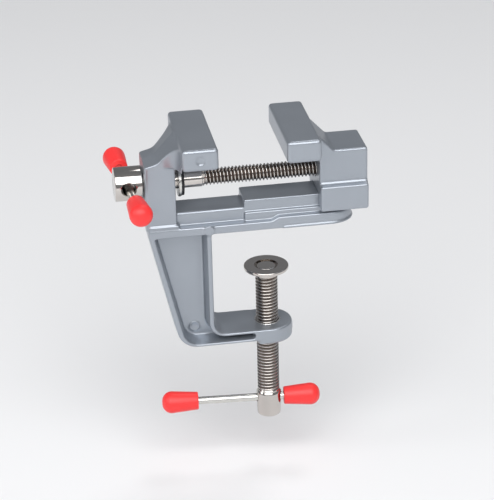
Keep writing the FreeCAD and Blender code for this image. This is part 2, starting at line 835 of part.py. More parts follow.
# Clamp screw: cross-drilled head, thread, and a stud spread over inside the pad
def make_clamp_screw():
    owner = body("clamp_screw")
    stud = "stud_diameter / 2"
    core = "clamp_diameter / 2"
    head = "clamp_head_diameter / 2"
    stud_top = "-pad_top - pad_recess_depth + pad_clearance / 2 + stud_head_height"
    shoulder = f"-{pad_bottom} - pad_clearance / 2"
    turned(owner, [
        ("0", stud_top),
        ("stud_head_diameter / 2 - stud_head_height / 2", stud_top),
        ("stud_head_diameter / 2", f"{stud_top} - stud_head_height / 2"),
        ("stud_head_diameter / 2", f"{stud_top} - stud_head_height"),
        (stud, f"{stud_top} - stud_head_height"),
        (stud, shoulder),
        (f"{core} - clamp_thread_depth", shoulder),
        (core, f"{shoulder} - clamp_thread_depth"),
        (core, "-clamp_head_top"),
        (head, "-clamp_head_top - clamp_head_taper"),
        (head, "-clamp_head_top - clamp_head_length + head_chamfer"),
        (f"{head} - head_chamfer", "-clamp_head_top - clamp_head_length"),
        ("0", "-clamp_head_top - clamp_head_length"),
    ], "clamp_screw_turned", axis="V_Axis")
    thread(owner, "V_Axis", core, "clamp_thread_depth", "clamp_pitch", "-clamp_head_top + clamp_pitch / 4",
           f"clamp_head_top - {pad_bottom} - clamp_pitch", "clamp_thread")
    cross_hole(owner, "YZ_Plane", "0", f"-{clamp_hole_down}", "clamp_hole / 2")
    bind(owner, Placement__Rotation__Angle="-clamp_bar_turn * 1deg")
    return owner


# Swivel pad that presses under the table top
def make_pad():
    owner = body("clamp_pad")
    hub = "pad_hub_diameter / 2"
    bore = "stud_diameter / 2 + pad_clearance"
    turned(owner, [
        (bore, f"-{pad_bottom}"),
        (hub, f"-{pad_bottom}"),
        (hub, "-pad_top - pad_thickness", "edge_round"),
        ("pad_diameter / 2", "-pad_top - pad_thickness", "edge_round"),
        ("pad_diameter / 2", "-pad_top", "edge_round"),
        ("pad_recess_diameter / 2", "-pad_top"),
        ("pad_recess_diameter / 2", "-pad_top - pad_recess_depth"),
        (bore, "-pad_top - pad_recess_depth"),
    ], "clamp_pad_turned", axis="V_Axis")
    return owner


bar_height = "screw_height - (head_hole - bar_diameter) / 2 + bar_rest_gap"
main_bar_at = (f"-{head_hole_back}", "0", bar_height)
shift_x = "-clamp_bar_shift * cos(clamp_bar_turn * 1deg)"
shift_y = "clamp_bar_shift * sin(clamp_bar_turn * 1deg)"
clamp_bar_height = f"-{clamp_hole_down} - (clamp_hole - bar_diameter) / 2 + clamp_bar_rest_gap"
clamp_bar_at = (shift_x, shift_y, clamp_bar_height)

nodes = {
    "vise_body": make_base(),
    "sliding_jaw": make_sliding_jaw(),
    "main_screw": make_main_screw(),
    "thrust_washer": make_washer(),
    "retaining_clip": make_clip(),
    "main_bar": make_bar("main_bar", "90 + bar_tilt", *main_bar_at),
    "main_bar_cap_near": make_cap("main_bar_cap_near", "bar_tilt - 90", *main_bar_at),
    "main_bar_cap_far": make_cap("main_bar_cap_far", "90 + bar_tilt", *main_bar_at),
    "clamp_screw": make_clamp_screw(),
    "clamp_pad": make_pad(),
    "clamp_bar": make_bar("clamp_bar", "-clamp_bar_turn", *clamp_bar_at),
    "clamp_bar_cap_left": make_cap("clamp_bar_cap_left", "180 - clamp_bar_turn", *clamp_bar_at),
    "clamp_bar_cap_right": make_cap("clamp_bar_cap_right", "-clamp_bar_turn", *clamp_bar_at),
}

for name, node in nodes.items():
    node.Label = name
doc.recompute()

failed = [item.Name for item in doc.Objects if "Invalid" in item.State or "Error" in item.State]
if failed:
    raise SystemExit(f"failed: {failed}")
for name, node in nodes.items():
    if node.Shape.isNull() or not node.Shape.isValid() or len(node.Shape.Solids) != 1:
        raise SystemExit(f"{name} is not one valid solid")

os.makedirs("parts", exist_ok=True)
for name, node in nodes.items():
    node.Shape.exportStep(f"parts/{name}.step")
    span = node.Shape.BoundBox
    lengths = (span.XLength, span.YLength, span.ZLength)
    print(name, round(node.Shape.Volume, 1), "mm3,", [round(length, 2) for length in lengths], "mm")
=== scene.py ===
import math

import bmesh
import bpy
import numpy as np
from mathutils import Euler, Matrix, Vector


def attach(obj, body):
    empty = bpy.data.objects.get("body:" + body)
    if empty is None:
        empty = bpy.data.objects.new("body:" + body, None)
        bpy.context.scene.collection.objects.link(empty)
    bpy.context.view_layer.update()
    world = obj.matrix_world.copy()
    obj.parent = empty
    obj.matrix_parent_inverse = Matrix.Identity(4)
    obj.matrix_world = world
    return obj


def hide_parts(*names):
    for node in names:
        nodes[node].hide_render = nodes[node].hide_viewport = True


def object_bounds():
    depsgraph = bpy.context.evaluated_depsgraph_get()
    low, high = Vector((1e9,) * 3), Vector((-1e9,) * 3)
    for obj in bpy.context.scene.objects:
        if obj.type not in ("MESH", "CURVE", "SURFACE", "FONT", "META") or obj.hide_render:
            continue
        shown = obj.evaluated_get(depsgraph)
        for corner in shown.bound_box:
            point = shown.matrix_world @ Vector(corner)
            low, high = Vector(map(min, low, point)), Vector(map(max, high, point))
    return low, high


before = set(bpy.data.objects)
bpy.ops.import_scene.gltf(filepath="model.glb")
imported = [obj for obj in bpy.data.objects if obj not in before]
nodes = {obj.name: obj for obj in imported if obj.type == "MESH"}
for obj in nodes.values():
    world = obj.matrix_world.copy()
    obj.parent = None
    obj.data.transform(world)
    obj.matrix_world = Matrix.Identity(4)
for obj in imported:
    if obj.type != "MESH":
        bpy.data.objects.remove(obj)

scene = bpy.context.scene
scene.view_settings.view_transform = "Standard"
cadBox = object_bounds()
mm = 0.001
sharpAngle = 35  # degrees; an edge past this angle stays sharp
print("frame:", len(nodes), "nodes")


# camera at the photo's place, in metres and degrees
view = {
    "place": (-0.1101, -0.6655, 0.3110),
    "azimuth": -8.83,
    "elevation": 25.58,
    "roll": -1.44,
    "focalLength": 152.0,
    "sensor": 36.0,
    "nearest": 0.01,
}


def makeCamera():
    camera = bpy.data.cameras.new("photoCamera")
    camera.lens = view["focalLength"]
    camera.sensor_width = view["sensor"]
    camera.clip_start = view["nearest"]
    holder = bpy.data.objects.new("photoCamera", camera)
    scene.collection.objects.link(holder)
    aim = Euler((math.radians(90 - view["elevation"]), 0, math.radians(view["azimuth"]))).to_matrix()
    turned = aim @ Matrix.Rotation(math.radians(view["roll"]), 3, "Z")
    holder.matrix_world = Matrix.Translation(view["place"]) @ turned.to_4x4()
    scene.camera = holder


makeCamera()
print("camera: in place")


# soft boxes, each turned towards the vise; power in watts, sizes in metres
softBoxes = {
    "front": {"place": (-0.20, -0.95, 1.00), "width": 1.90, "depth": 1.20, "power": 26.0},
    "left": {"place": (-1.10, -0.15, 0.55), "width": 0.40, "depth": 0.60, "power": 2.5},
    "back": {"place": (0.45, 0.60, 1.30), "width": 0.50, "depth": 0.40, "power": 3.0},
}


def makeSoftBox(name, box):
    lamp = bpy.data.lights.new(name, "AREA")
    lamp.shape = "RECTANGLE"
    lamp.size = box["width"]
    lamp.size_y = box["depth"]
    lamp.energy = box["power"]
    holder = bpy.data.objects.new(name, lamp)
    holder.visible_camera = False
    scene.collection.objects.link(holder)
    place = Vector(box["place"])
    middle = (cadBox[0] + cadBox[1]) / 2
    turned = (place - middle).to_track_quat("Z", "Y").to_matrix()
    holder.matrix_world = Matrix.Translation(place) @ turned.to_4x4()


for boxName, box in softBoxes.items():
    makeSoftBox(boxName, box)


# Links a socket to an input, or sets the input's own value.
def feed(tree, socket, value):
    if isinstance(value, bpy.types.NodeSocket):
        tree.links.new(value, socket)
    elif socket.type == "RGBA":
        socket.default_value = (*value, 1.0)
    else:
        socket.default_value = value


# Adds a node; a keyword sets the input of that name, with spaces left out.
def addNode(tree, kind, **sockets):
    node = tree.nodes.new(kind)
    for key, value in sockets.items():
        feed(tree, findInput(node, key), value)
    return node


def findInput(node, key):
    return next(s for s in node.inputs if s.name.replace(" ", "") == key)


def addMath(tree, operation, first, second=0.0, third=0.0):
    node = tree.nodes.new("ShaderNodeMath")
    node.operation = operation
    for socket, value in zip(node.inputs, (first, second, third)):
        feed(tree, socket, value)
    return node.outputs[0]


# Inputs 0, 6 and 7 of the mix are its amount and its two colours, and output 2 is their mix.
def mixColour(tree, amount, first, second):
    node = tree.nodes.new("ShaderNodeMix")
    node.data_type = "RGBA"
    for index, value in ((0, amount), (6, first), (7, second)):
        feed(tree, node.inputs[index], value)
    return node.outputs[2]


# the room: dim behind and above the vise, a little paler on the camera's side
room = {
    "far": (0.215, 0.222, 0.235),
    "near": (0.27, 0.275, 0.285),
    "farFrom": 0.3,
    "nearFrom": -0.5,
    "strength": 1.0,
    "floorDrop": 19.5,
    "floorSize": 6.0,
    "floorColour": (0.86, 0.86, 0.865),
    "floorRoughness": 0.9,
}


# The colour turns from far to near with the direction's Y, so that flat tops mirror the dim side.
def makeWorld():
    world = bpy.data.worlds.new("room")
    world.use_nodes = True
    scene.world = world
    tree = world.node_tree
    tree.nodes.clear()
    direction = addNode(tree, "ShaderNodeTexCoord").outputs["Generated"]
    along = addNode(tree, "ShaderNodeSeparateXYZ", Vector=direction).outputs["Y"]
    turn = addNode(tree, "ShaderNodeMapRange", Value=along, FromMin=room["farFrom"], FromMax=room["nearFrom"])
    colour = mixColour(tree, turn.outputs["Result"], room["far"], room["near"])
    light = addNode(tree, "ShaderNodeBackground", Color=colour, Strength=room["strength"])
    out = addNode(tree, "ShaderNodeOutputWorld")
    tree.links.new(light.outputs[0], out.inputs["Surface"])


def paleFloor():
    material = bpy.data.materials.new("paleFloor")
    material.use_nodes = True
    shader = material.node_tree.nodes["Principled BSDF"]
    shader.inputs["Base Color"].default_value = (*room["floorColour"], 1)
    shader.inputs["Roughness"].default_value = room["floorRoughness"]
    return material


def makeFloor():
    half = room["floorSize"] / 2
    level = cadBox[0].z - room["floorDrop"] * mm
    corners = [(-half, -half, level), (half, -half, level), (half, half, level), (-half, half, level)]
    mesh = bpy.data.meshes.new("floor")
    mesh.from_pydata(corners, [], [(0, 1, 2, 3)])
    mesh.materials.append(paleFloor())
    floor = bpy.data.objects.new("floor", mesh)
    scene.collection.objects.link(floor)


makeWorld()
makeFloor()
print("studio: floor, world and", len(softBoxes), "soft boxes")


# A shader node group with named float inputs, each with its default, and named outputs.
def startGroup(name, inputs, outputs):
    group = bpy.data.node_groups.new(name, "ShaderNodeTree")
    for socketName, default in inputs.items():
        socket = group.interface.new_socket(socketName, in_out="INPUT", socket_type="NodeSocketFloat")
        socket.default_value = default
    for socketName in outputs:
        group.interface.new_socket(socketName, in_out="OUTPUT", socket_type="NodeSocketFloat")
    source = group.nodes.new("NodeGroupInput")
    target = group.nodes.new("NodeGroupOutput")
    return group, source, target


# each noise of the grain: its size in metres and its detail
grainNoises = {
    "Peel Size": (0.0008, 2.0),
    "Grain Size": (0.0002, 3.0),
    "Mottle Size": (0.012, 4.0),
}
grainShare = 0.4  # height of the fine grain against the orange peel


# Fine random relief in two sizes, and slow mottling, all on Object coordinates in metres.
def makeGrainGroup():
    defaults = {name: size for name, (size, detail) in grainNoises.items()}
    group, source, target = startGroup("surfaceGrain", defaults, ("Height", "Mottle"))
    place = addNode(group, "ShaderNodeTexCoord").outputs["Object"]
    noises = []
    for name, (size, detail) in grainNoises.items():
        scale = addMath(group, "DIVIDE", 1.0, source.outputs[name])
        noise = addNode(group, "ShaderNodeTexNoise", Vector=place, Scale=scale, Detail=detail)
        noises.append(noise.outputs["Fac"])
    peel, fine, mottle = noises
    group.links.new(addMath(group, "MULTIPLY_ADD", fine, grainShare, peel), target.inputs["Height"])
    group.links.new(mottle, target.inputs["Mottle"])
    return group


# scratches: default width in metres and amount, turn in radians, stretch along X, and half the noise
# span that still shows
scratch = {
    "width": 0.00035,
    "amount": 0.5,
    "turn": (0.3, 0.2, 0.5),
    "stretch": (0.025, 1.0, 1.0),
    "detail": 2.0,
    "span": 0.02,
}


# Long thin scratches: noise stretched forty times along X, thresholded to narrow lines.
def makeScratchGroup():
    defaults = {"Width": scratch["width"], "Amount": scratch["amount"]}
    group, source, target = startGroup("fineScratches", defaults, ("Scratches",))
    place = addNode(group, "ShaderNodeTexCoord").outputs["Object"]
    mapping = addNode(group, "ShaderNodeMapping", Vector=place, Rotation=scratch["turn"], Scale=scratch["stretch"])
    scale = addMath(group, "DIVIDE", 1.0, source.outputs["Width"])
    stretched = mapping.outputs[0]
    noise = addNode(group, "ShaderNodeTexNoise", Vector=stretched, Scale=scale, Detail=scratch["detail"])
    fromMiddle = addMath(group, "ABSOLUTE", addMath(group, "SUBTRACT", noise.outputs["Fac"], 0.5))
    line = addNode(group, "ShaderNodeMapRange", Value=fromMiddle, FromMin=scratch["span"], FromMax=0.0)
    lines = addMath(group, "MULTIPLY", line.outputs["Result"], source.outputs["Amount"])
    group.links.new(lines, target.inputs["Scratches"])
    return group


grainGroup = makeGrainGroup()
scratchGroup = makeScratchGroup()


def placeGroup(tree, group, values):
    node = addNode(tree, "ShaderNodeGroup")
    node.node_tree = group
    for key, value in values.items():
        node.inputs[key].default_value = value
    return node


def startMaterial(name):
    material = bpy.data.materials.new(name)
    material.use_nodes = True
    tree = material.node_tree
    return material, tree, tree.nodes["Principled BSDF"]


# A 0 to 1 value spread between two limits.
def setRange(tree, value, low, high):
    return addNode(tree, "ShaderNodeMapRange", Value=value, ToMin=low, ToMax=high).outputs["Result"]


def addBump(tree, shader, height, distance):
    bump = addNode(tree, "ShaderNodeBump", Height=height, Distance=distance)
    tree.links.new(bump.outputs[0], shader.inputs["Normal"])


# Each finish has its two colours, its two roughnesses, and the sizes and relief of its grain in metres.
castingFinish = {
    "dark": (0.325, 0.353, 0.392),
    "light": (0.368, 0.398, 0.440),
    "metallic": 0.70,
    "roughness": (0.30, 0.37),
    "grain": {"Peel Size": 0.0009, "Grain Size": 0.00018},
    "relief": 0.000018,
}


# Satin silver casting: soft orange peel, fine grain and slow mottling.
def castingMaterial():
    finish = castingFinish
    material, tree, shader = startMaterial("satinCasting")
    grain = placeGroup(tree, grainGroup, finish["grain"])
    mottle = grain.outputs["Mottle"]
    tree.links.new(mixColour(tree, mottle, finish["dark"], finish["light"]), shader.inputs["Base Color"])
    tree.links.new(setRange(tree, mottle, *finish["roughness"]), shader.inputs["Roughness"])
    shader.inputs["Metallic"].default_value = finish["metallic"]
    addBump(tree, shader, grain.outputs["Height"], finish["relief"])
    return material


platingFinish = {
    "bright": (0.60, 0.565, 0.535),
    "dimShare": 0.92,
    "roughness": (0.06, 0.16),
    # painted shade: the dark colour laid into the thread valleys, its rise with valley depth, and its roughness
    # there
    "grime": (0.085, 0.06, 0.048),
    "grimePower": 1.6,
    "grimeRoughness": 0.45,
    "grain": {"Peel Size": 0.0015, "Grain Size": 0.0003, "Mottle Size": 0.004},
    "scratches": {"Width": 0.0004, "Amount": 0.5},
    "scratchRoughness": 0.15,
    "relief": 0.000004,
}


# Polished plating with faint scratches; where the mesh has a valley mask, painted shade darkens the thread
# valleys.
def platingMaterial(name, valleys):
    finish = platingFinish
    material, tree, shader = startMaterial(name)
    grain = placeGroup(tree, grainGroup, finish["grain"])
    scratches = placeGroup(tree, scratchGroup, finish["scratches"])
    roughness = setRange(tree, grain.outputs["Mottle"], *finish["roughness"])
    roughness = addMath(tree, "MULTIPLY_ADD", scratches.outputs[0], finish["scratchRoughness"], roughness)
    if valleys:
        # painted shade: the valley mask darkens the thread valleys and roughens them
        mask = addNode(tree, "ShaderNodeAttribute")
        mask.attribute_name = "valley"
        shadeAmount = addMath(tree, "POWER", mask.outputs["Fac"], finish["grimePower"])
        colour = mixColour(tree, shadeAmount, finish["bright"], finish["grime"])
        roughness = addMath(tree, "MAXIMUM", roughness, addMath(tree, "MULTIPLY", shadeAmount, finish["grimeRoughness"]))
    else:
        dim = [part * finish["dimShare"] for part in finish["bright"]]
        colour = mixColour(tree, grain.outputs["Mottle"], dim, finish["bright"])
    tree.links.new(colour, shader.inputs["Base Color"])
    tree.links.new(roughness, shader.inputs["Roughness"])
    shader.inputs["Metallic"].default_value = 1.0
    addBump(tree, shader, grain.outputs["Height"], finish["relief"])
    return material


brightFinish = {"colours": ((0.60, 0.59, 0.56), (0.72, 0.71, 0.68)), "roughness": (0.18, 0.32), "metallic": 1.0}
blackFinish = {"colours": ((0.012, 0.012, 0.014), (0.03, 0.03, 0.033)), "roughness": (0.28, 0.45), "metallic": 0.6}
bareFinish = {"colours": ((0.66, 0.66, 0.65), (0.76, 0.76, 0.75)), "roughness": (0.22, 0.34), "metallic": 1.0}
drawn = {
    "grain": {"Peel Size": 0.0006, "Grain Size": 0.00015, "Mottle Size": 0.003},
    "scratches": {"Width": 0.0003, "Amount": 0.6},
    "scratchRoughness": 0.12,
    "relief": 0.000006,
}


# Drawn or blackened steel, or machined aluminium, with fine scratches.
def drawnMaterial(name, finish):
    material, tree, shader = startMaterial(name)
    grain = placeGroup(tree, grainGroup, drawn["grain"])
    scratches = placeGroup(tree, scratchGroup, drawn["scratches"])
    mottle = grain.outputs["Mottle"]
    tree.links.new(mixColour(tree, mottle, *finish["colours"]), shader.inputs["Base Color"])
    roughness = setRange(tree, mottle, *finish["roughness"])
    roughness = addMath(tree, "MULTIPLY_ADD", scratches.outputs[0], drawn["scratchRoughness"], roughness)
    tree.links.new(roughness, shader.inputs["Roughness"])
    shader.inputs["Metallic"].default_value = finish["metallic"]
    addBump(tree, shader, grain.outputs["Height"], drawn["relief"])
    return material


capFinish = {
    "deep": (0.86, 0.030, 0.030),
    "bright": (0.92, 0.040, 0.040),
    "roughness": (0.38, 0.46),
    "specular": 0.5,
    "depthShare": 0.15,
    "depths": (0.002, 0.0005, 0.0004),
    "grain": {"Peel Size": 0.0016, "Grain Size": 0.0003, "Mottle Size": 0.006},
    "relief": 0.000004,
}


# Dipped soft vinyl: glossy, a little uneven.
def capMaterial():
    finish = capFinish
    material, tree, shader = startMaterial("redVinyl")
    grain = placeGroup(tree, grainGroup, finish["grain"])
    mottle = grain.outputs["Mottle"]
    tree.links.new(mixColour(tree, mottle, finish["deep"], finish["bright"]), shader.inputs["Base Color"])
    tree.links.new(setRange(tree, mottle, *finish["roughness"]), shader.inputs["Roughness"])
    shader.inputs["Specular IOR Level"].default_value = finish["specular"]
    shader.inputs["Subsurface Weight"].default_value = finish["depthShare"]
    shader.inputs["Subsurface Radius"].default_value = finish["depths"]
    addBump(tree, shader, grain.outputs["Height"], finish["relief"])
    return material


casting = castingMaterial()
plating = platingMaterial("plating", valleys=False)
threadPlating = platingMaterial("threadPlating", valleys=True)
brightSteel = drawnMaterial("brightSteel", brightFinish)
blackSteel = drawnMaterial("blackSteel", blackFinish)
bareAluminium = drawnMaterial("bareAluminium", bareFinish)
redVinyl = capMaterial()
print("materials: ready")

nodeFinish = {
    "thrust_washer": brightSteel,
    "retaining_clip": blackSteel,
    "clamp_pad": plating,
}
for nodeName, material in nodeFinish.items():
    for slot in nodes[nodeName].material_slots:
        slot.material = material
print("CAD nodes: finished")


# castings: grid in millimetres, rounds of smoothing, more rounds for the frame, and the most faces kept
castings = {
    "vise_body": {"body": "base", "grid": 0.22, "smoothing": 22, "frameSmoothing": 6, "most": 190000},
    "sliding_jaw": {"body": "sliding_jaw", "grid": 0.2, "smoothing": 20, "frameSmoothing": 0, "most": 150000},
}
frameTop = -1.0  # millimetres; the frame is what lies below it
mergeDistance = 0.001  # millimetres


# Makes what a piece's modifiers give its mesh, and takes the modifiers off.
def bake(piece):
    bpy.context.view_layer.update()
    result = bpy.data.meshes.new_from_object(piece.evaluated_get(bpy.context.evaluated_depsgraph_get()))
    piece.modifiers.clear()
    piece.data = result
    return result


def readPoints(mesh):
    points = np.empty(len(mesh.vertices) * 3, np.float32)
    mesh.vertices.foreach_get("co", points)
    return points.reshape(-1, 3)


def mergedCopy(node):
    mesh = node.data.copy()
    merged = bmesh.new()
    merged.from_mesh(mesh)
    bmesh.ops.remove_doubles(merged, verts=merged.verts, dist=mergeDistance * mm)
    merged.to_mesh(mesh)
    merged.free()
    return mesh


# A fine even mesh over the CAD node, smoothed so that every edge has its moulded round.
def softCasting(nodeName, values):
    piece = bpy.data.objects.new(nodeName + "Casting", mergedCopy(nodes[nodeName]))
    scene.collection.objects.link(piece)
    grid = piece.modifiers.new("grid", "REMESH")
    grid.mode = "VOXEL"
    grid.voxel_size = values["grid"] * mm
    grid.use_smooth_shade = True
    bake(piece)
    smooth = piece.modifiers.new("rounds", "SMOOTH")
    smooth.iterations = values["smoothing"]
    if values["frameSmoothing"]:
        below = piece.vertex_groups.new(name="belowFlange")
        heights = readPoints(piece.data)[:, 2]
        below.add(np.flatnonzero(heights < frameTop * mm).tolist(), 1.0, "REPLACE")
        more = piece.modifiers.new("frameRounds", "SMOOTH")
        more.iterations = values["frameSmoothing"]
        more.vertex_group = "belowFlange"
    mesh = bake(piece)
    triangles = len(mesh.loops) - 2 * len(mesh.polygons)
    thin = piece.modifiers.new("thin", "DECIMATE")
    thin.ratio = min(1.0, values["most"] / triangles)
    mesh = bake(piece)
    mesh.materials.clear()
    mesh.materials.append(casting)
    mesh.shade_smooth()
    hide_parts(nodeName)
    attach(piece, values["body"])
    print(nodeName + ":", len(mesh.polygons), "faces")


for nodeName, values in castings.items():
    softCasting(nodeName, values)


# A closed tube through rows of points, shape (rows, steps, 3); each end is closed with a fan round the
# row's middle.
def makePiece(name, rows, material, angle=sharpAngle):
    count, steps = rows.shape[:2]
    index = np.arange(count * steps).reshape(count, steps)
    following = np.roll(index, -1, axis=1)
    walls = np.stack([index[:-1], following[:-1], following[1:], index[1:]], axis=-1).reshape(-1, 4)
    ends = np.stack([rows[0].mean(axis=0), rows[-1].mean(axis=0)])
    first = np.stack([np.full(steps, count * steps), following[0], index[0]], axis=-1)
    last = np.stack([np.full(steps, count * steps + 1), index[-1], following[-1]], axis=-1)
    mesh = bpy.data.meshes.new(name)
    points = np.vstack([rows.reshape(-1, 3), ends])
    mesh.from_pydata(points.tolist(), [], walls.tolist() + first.tolist() + last.tolist())
    mesh.materials.append(material)
    mesh.shade_smooth()
    mesh.set_sharp_from_angle(angle=math.radians(angle))
    piece = bpy.data.objects.new(name, mesh)
    scene.collection.objects.link(piece)
    return piece


# Points at origin + along * axis + radius * (cos(angle) * side + sin(angle) * up), turning by the
# right-hand rule.
def roundAxis(origin, axis, along, radius, angle):
    axis = np.array(axis, float)
    side = np.array((0.0, 1.0, 0.0) if axis[0] else (1.0, 0.0, 0.0))
    up = np.cross(axis, side)
    spokes = np.cos(angle)[..., None] * side + np.sin(angle)[..., None] * up
    return np.array(origin) + along[..., None] * axis + radius[..., None] * spokes


# Rows of a turned piece from its profile, pairs of place along the axis and radius, in millimetres.
def turnedRows(origin, axis, profile, steps):
    profile = np.array(profile) * mm
    angle = np.tile(np.arange(steps) * 2 * math.pi / steps, (len(profile), 1))
    along = np.repeat(profile[:, :1], steps, axis=1)
    radius = np.repeat(profile[:, 1:], steps, axis=1)
    return roundAxis(origin, axis, along, radius, angle)


# Points of a rounded corner of a profile: a quadratic curve pulled to the corner from a radius before
# and after it.
def softCorner(before, corner, after, radius, steps=4):
    before, corner, after = (np.array(point, float) for point in (before, corner, after))
    start = corner + (before - corner) / np.linalg.norm(before - corner) * radius
    end = corner + (after - corner) / np.linalg.norm(after - corner) * radius
    t = np.linspace(0, 1, steps + 1)[:, None]
    return ((1 - t) ** 2 * start + 2 * t * (1 - t) * corner + t ** 2 * end).tolist()


# A profile from corners (along, radius, softness); a softness of 0 keeps the corner sharp.
def softProfile(corners):
    points = []
    for i, (along, radius, softness) in enumerate(corners):
        if softness and 0 < i < len(corners) - 1:
            points += softCorner(corners[i - 1][:2], (along, radius), corners[i + 1][:2], softness)
        else:
            points.append([along, radius])
    return points


# Cuts a closed tube out of a piece and keeps the result as its mesh.
def drill(piece, cutterRows):
    cutter = makePiece(piece.name + "Cutter", cutterRows, piece.data.materials[0])
    cut = piece.modifiers.new("hole", "BOOLEAN")
    cut.object = cutter
    cut.solver = "EXACT"
    bake(piece).set_sharp_from_angle(angle=math.radians(sharpAngle))
    bpy.data.objects.remove(cutter)


# Rotation about Z that turns X onto a direction.
def spinTo(direction):
    along = np.array(direction) / np.linalg.norm(direction)
    return np.array([[along[0], -along[1], 0], [along[1], along[0], 0], [0, 0, 1]])


# Profile of a cross hole through a head's middle: flared at both ends, straight between them.
def crossHole(screw):
    rim = screw["headRadius"]
    straight = screw["holeRadius"]
    flared = straight + screw["holeFlare"]
    flareEnd, straightFrom = screw["holeDepths"]
    half = [(rim - straightFrom, straight), (rim - flareEnd, flared), (rim + screw["holeOverrun"], flared)]
    return [(-along, radius) for along, radius in reversed(half)] + half


# Radius on a right-hand thread. along / pitch - angle / (2 pi) counts crests, so its distance from a
# whole number, doubled, is 0 on a crest and 1 in a valley; the radius ramps down between them, and the
# ramp fades in over the run-out.
def threadRadius(along, angle, screw):
    turn = along / screw["pitch"] - angle / (2 * math.pi)
    fromCrest = np.abs(turn - np.round(turn)) * 2
    ramp = np.clip((fromCrest - screw["crest"]) / (1 - screw["crest"] - screw["root"]), 0, 1)
    ramp = ramp + screw["softness"] * (ramp * ramp * (3 - 2 * ramp) - ramp)
    fadeIn = np.clip((along - screw["start"]) / screw["runOut"], 0, 1)
    fadeOut = np.clip((screw["end"] - along) / screw["tipFade"], 0, 1)
    valley = ramp * fadeIn * fadeOut
    return screw["radius"] - screw["depth"] * valley, valley


# A turned profile, a threaded length and a second turned profile, joined in one closed surface with a
# valley mask.
def threadedPiece(name, origin, axis, before, screw, after):
    steps = screw["steps"]
    count = int((screw["end"] - screw["start"]) / screw["pitch"] * screw["rowsPerTurn"])
    angle = np.arange(steps) * 2 * math.pi / steps
    along = np.linspace(screw["start"], screw["end"], count)
    alongGrid, angleGrid = np.meshgrid(along, angle, indexing="ij")
    radius, valley = threadRadius(alongGrid, angleGrid, screw)
    middle = roundAxis(origin, axis, alongGrid * mm, radius * mm, angleGrid)
    firstRows = turnedRows(origin, axis, before, steps)
    lastRows = turnedRows(origin, axis, after, steps)
    piece = makePiece(name, np.concatenate([firstRows, middle, lastRows]), threadPlating)
    mask = np.zeros(len(piece.data.vertices), np.float32)
    mask[len(before) * steps:(len(before) + count) * steps] = valley.reshape(-1)
    piece.data.attributes.new("valley", "FLOAT", "POINT").data.foreach_set("value", mask)
    return piece


# main screw: places along X in millimetres from the clamp screw's axis
mainScrew = {
    "height": 18.2,
    "headOuter": -52.6, "headInner": -43.0, "headRadius": 6.0, "headEdge": 0.5, "headSteps": 96,
    "holeAt": -48.0, "holeRadius": 2.4, "holeFlare": 0.3,
    "holeDepths": (0.35, 0.7), "holeOverrun": 1, "holeSteps": 64,
    "shankRadius": 3.2, "shankOverlap": 0.4,
    "grooveBack": -29.65, "grooveFront": -28.65, "grooveRadius": 2.5, "grooveEdge": 0.08,
    "stepBefore": 0.25, "stepEnd": 0.02, "stepEdge": 0.1,
    "start": -22.0, "end": 32.2, "tip": 33.0, "tipEdge": 0.05,
    "radius": 3.0, "depth": 0.7, "pitch": 1.25,
    "crest": 0.12, "root": 0.10, "softness": 0.5, "runOut": 1.6, "tipFade": 0.01,
    "steps": 48, "rowsPerTurn": 22,
}


def makeMainScrew():
    screw = mainScrew
    origin = (0, 0, screw["height"] * mm)
    headProfile = softProfile([
        (screw["headOuter"], 0.0, 0),
        (screw["headOuter"], screw["headRadius"], screw["headEdge"]),
        (screw["headInner"], screw["headRadius"], screw["headEdge"]),
        (screw["headInner"], 0.0, 0),
    ])
    head = makePiece("mainScrewHead", turnedRows(origin, (1, 0, 0), headProfile, screw["headSteps"]), plating)
    holeMiddle = (screw["holeAt"] * mm, 0, screw["height"] * mm)
    drill(head, turnedRows(holeMiddle, (0, 1, 0), crossHole(screw), screw["holeSteps"]))
    shank = screw["shankRadius"]
    before = softProfile([
        (screw["headInner"] - screw["shankOverlap"], shank, 0),
        (screw["grooveBack"], shank, screw["grooveEdge"]),
        (screw["grooveBack"], screw["grooveRadius"], 0),
        (screw["grooveFront"], screw["grooveRadius"], 0),
        (screw["grooveFront"], shank, screw["grooveEdge"]),
        (screw["start"] - screw["stepBefore"], shank, screw["stepEdge"]),
        (screw["start"] - screw["stepEnd"], screw["radius"], 0),
    ])
    after = [
        (screw["end"] + screw["tipEdge"], screw["radius"] - screw["tipEdge"]),
        (screw["tip"], screw["radius"] - screw["depth"]),
    ]
    thread = threadedPiece("mainScrewThread", origin, (1, 0, 0), before, screw, after)
    for piece in (head, thread):
        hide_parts("main_screw")
        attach(piece, "main_screw")


# clamp screw: places along Z in millimetres from the underside of the base
clampScrew = {
    "headTop": -68.0, "headBottom": -77.7, "headRadius": 4.5, "headBottomRadius": 4.3,
    "headTaper": 0.9, "taperEdge": 0.3, "neck": 0.02, "neckEdge": 0.1, "headEdge": 0.5, "headSteps": 96,
    "holeAt": -71.2, "holeRadius": 1.7, "holeFlare": 0.15,
    "holeDepths": (0.25, 0.5), "holeOverrun": 1, "holeTurn": -4.3, "holeSteps": 64,
    "punchAt": -74.1, "punchDent": ((-0.5, 0.78), (0.0, 0.62), (0.12, 0.46), (0.2, 0.12)), "punchSteps": 24,
    "threadOverlap": 0.4, "start": -67.9, "end": -21.6, "shoulder": -20.95, "tipEdge": 0.05,
    "studRadius": 2.3, "studHeadBottom": -18.75, "studHeadTop": -17.95, "studHeadRadius": 3.5,
    "studHeadEdge": 0.2, "studTopEdge": 0.5, "studMiddle": 0.3,
    "radius": 4.0, "depth": 0.7, "pitch": 1.25,
    "crest": 0.12, "root": 0.10, "softness": 0.5, "runOut": 1.2, "tipFade": 0.01,
    "steps": 56, "rowsPerTurn": 22,
}


